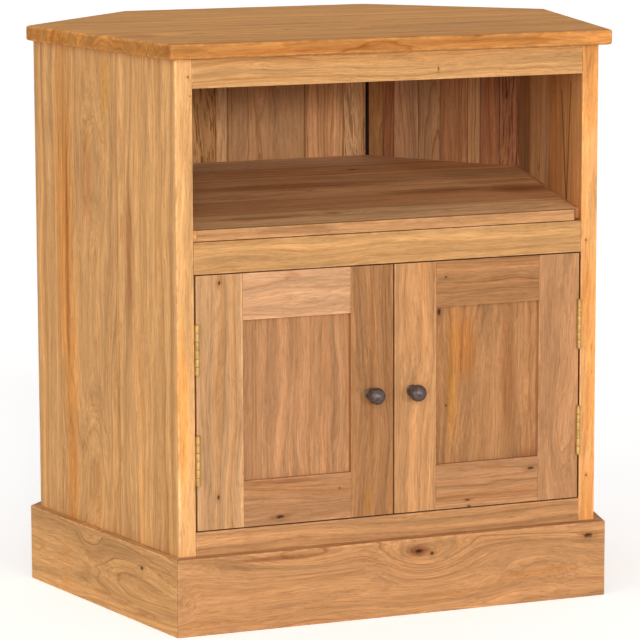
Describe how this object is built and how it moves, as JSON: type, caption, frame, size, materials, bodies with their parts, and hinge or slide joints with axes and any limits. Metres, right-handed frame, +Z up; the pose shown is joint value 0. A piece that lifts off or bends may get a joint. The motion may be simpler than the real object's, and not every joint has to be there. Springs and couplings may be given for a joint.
{
  "type": "corner cabinet",
  "caption": "Six-sided wooden corner cabinet with an open niche over a cupboard closed by two framed doors with ball knobs.",
  "frame": {"origin": "centre of the foot of the whole cabinet's bounding box, on the floor", "axes": "+Z up, -Y out of the front with the doors, +X to the right as seen from the front"},
  "size_m": [0.7608, 0.5868, 0.75],
  "materials": {
    "top_panel": "oiled teak boards, grain left to right",
    "left_side_panel": "oiled teak boards, upright grain",
    "right_side_panel": "oiled teak boards, upright grain",
    "rear_back_panel": "oiled teak boards, upright grain",
    "left_diagonal_back_panel": "oiled teak boards, upright grain",
    "right_diagonal_back_panel": "oiled teak boards, upright grain",
    "upper_front_rail": "oiled teak",
    "middle_front_rail": "oiled teak",
    "bottom_front_rail": "oiled teak",
    "plinth_front": "oiled teak, wavy grain",
    "plinth_left": "oiled teak",
    "plinth_right": "oiled teak",
    "plinth_left_diagonal": "oiled teak",
    "plinth_right_diagonal": "oiled teak",
    "plinth_rear": "oiled teak",
    "niche_shelf": "oiled teak boards, grain left to right",
    "left_shelf_scribe_strip": "bare teak",
    "right_shelf_scribe_strip": "bare teak",
    "left_shelf_cleat": "bare teak",
    "right_shelf_cleat": "bare teak",
    "rear_shelf_cleat": "bare teak",
    "cupboard_floor": "oiled teak boards",
    "left_floor_cleat": "bare teak",
    "right_floor_cleat": "bare teak",
    "rear_floor_cleat": "bare teak",
    "left_top_cleat": "bare teak",
    "right_top_cleat": "bare teak",
    "door_stop_block": "bare teak",
    "stop_magnet": "nickel-plated magnet",
    "left_upper_hinge_frame_leaf": "satin brass",
    "left_upper_hinge_door_leaf": "satin brass",
    "left_upper_hinge_pin": "satin brass",
    "left_lower_hinge_frame_leaf": "satin brass",
    "left_lower_hinge_door_leaf": "satin brass",
    "left_lower_hinge_pin": "satin brass",
    "right_upper_hinge_frame_leaf": "satin brass",
    "right_upper_hinge_door_leaf": "satin brass",
    "right_upper_hinge_pin": "satin brass",
    "right_lower_hinge_frame_leaf": "satin brass",
    "right_lower_hinge_door_leaf": "satin brass",
    "right_lower_hinge_pin": "satin brass",
    "left_door_hinge_stile": "oiled teak",
    "left_door_lock_stile": "oiled teak",
    "left_door_top_rail": "oiled teak",
    "left_door_bottom_rail": "oiled teak",
    "left_door_panel": "oiled teak, upright grain",
    "left_door_knob": "dark bronzed metal",
    "left_door_knob_screw": "plated steel",
    "left_door_strike_plate": "plated steel",
    "right_door_hinge_stile": "oiled teak",
    "right_door_lock_stile": "oiled teak",
    "right_door_top_rail": "oiled teak",
    "right_door_bottom_rail": "oiled teak",
    "right_door_panel": "oiled teak, figured grain",
    "right_door_knob": "dark bronzed metal",
    "right_door_knob_screw": "plated steel",
    "right_door_strike_plate": "plated steel"
  },
  "bodies": {
    "carcass": {"top_panel": "top_panel", "left_side_panel": "left_side_panel", "right_side_panel": "right_side_panel", "rear_back_panel": "rear_back_panel", "left_diagonal_back_panel": "left_diagonal_back_panel", "right_diagonal_back_panel": "right_diagonal_back_panel", "upper_front_rail": "upper_front_rail", "middle_front_rail": "middle_front_rail", "bottom_front_rail": "bottom_front_rail", "plinth_front": "plinth_front", "plinth_left": "plinth_left", "plinth_right": "plinth_right", "plinth_left_diagonal": "plinth_left_diagonal", "plinth_right_diagonal": "plinth_right_diagonal", "plinth_rear": "plinth_rear", "niche_shelf": "niche_shelf", "left_shelf_scribe_strip": "left_shelf_scribe_strip", "right_shelf_scribe_strip": "right_shelf_scribe_strip", "left_shelf_cleat": "left_shelf_cleat", "right_shelf_cleat": "right_shelf_cleat", "rear_shelf_cleat": "rear_shelf_cleat", "cupboard_floor": "cupboard_floor", "left_floor_cleat": "left_floor_cleat", "right_floor_cleat": "right_floor_cleat", "rear_floor_cleat": "rear_floor_cleat", "left_top_cleat": "left_top_cleat", "right_top_cleat": "right_top_cleat", "door_stop_block": "door_stop_block", "stop_magnet": "stop_magnet", "left_upper_hinge_frame_leaf": "left_upper_hinge_frame_leaf", "left_upper_hinge_pin": "left_upper_hinge_pin", "left_lower_hinge_frame_leaf": "left_lower_hinge_frame_leaf", "left_lower_hinge_pin": "left_lower_hinge_pin", "right_upper_hinge_frame_leaf": "right_upper_hinge_frame_leaf", "right_upper_hinge_pin": "right_upper_hinge_pin", "right_lower_hinge_frame_leaf": "right_lower_hinge_frame_leaf", "right_lower_hinge_pin": "right_lower_hinge_pin"},
    "left_door": {"left_door_hinge_stile": "left_door_hinge_stile", "left_door_lock_stile": "left_door_lock_stile", "left_door_top_rail": "left_door_top_rail", "left_door_bottom_rail": "left_door_bottom_rail", "left_door_panel": "left_door_panel", "left_door_knob": "left_door_knob", "left_door_knob_screw": "left_door_knob_screw", "left_door_strike_plate": "left_door_strike_plate", "left_upper_hinge_door_leaf": "left_upper_hinge_door_leaf", "left_lower_hinge_door_leaf": "left_lower_hinge_door_leaf"},
    "right_door": {"right_door_hinge_stile": "right_door_hinge_stile", "right_door_lock_stile": "right_door_lock_stile", "right_door_top_rail": "right_door_top_rail", "right_door_bottom_rail": "right_door_bottom_rail", "right_door_panel": "right_door_panel", "right_door_knob": "right_door_knob", "right_door_knob_screw": "right_door_knob_screw", "right_door_strike_plate": "right_door_strike_plate", "right_upper_hinge_door_leaf": "right_upper_hinge_door_leaf", "right_lower_hinge_door_leaf": "right_lower_hinge_door_leaf"}
  },
  "joints": [
    {"name": "left_door_hinge", "type": "hinge", "parent": "carcass", "child": "left_door", "pos_m": [-0.26688, -0.2654, 0.2953], "axis": [0, 0, 1], "range_deg": [-170, 0]},
    {"name": "right_door_hinge", "type": "hinge", "parent": "carcass", "child": "right_door", "pos_m": [0.26315, -0.2654, 0.2953], "axis": [0, 0, 1], "range_deg": [0, 170]}
  ]
}
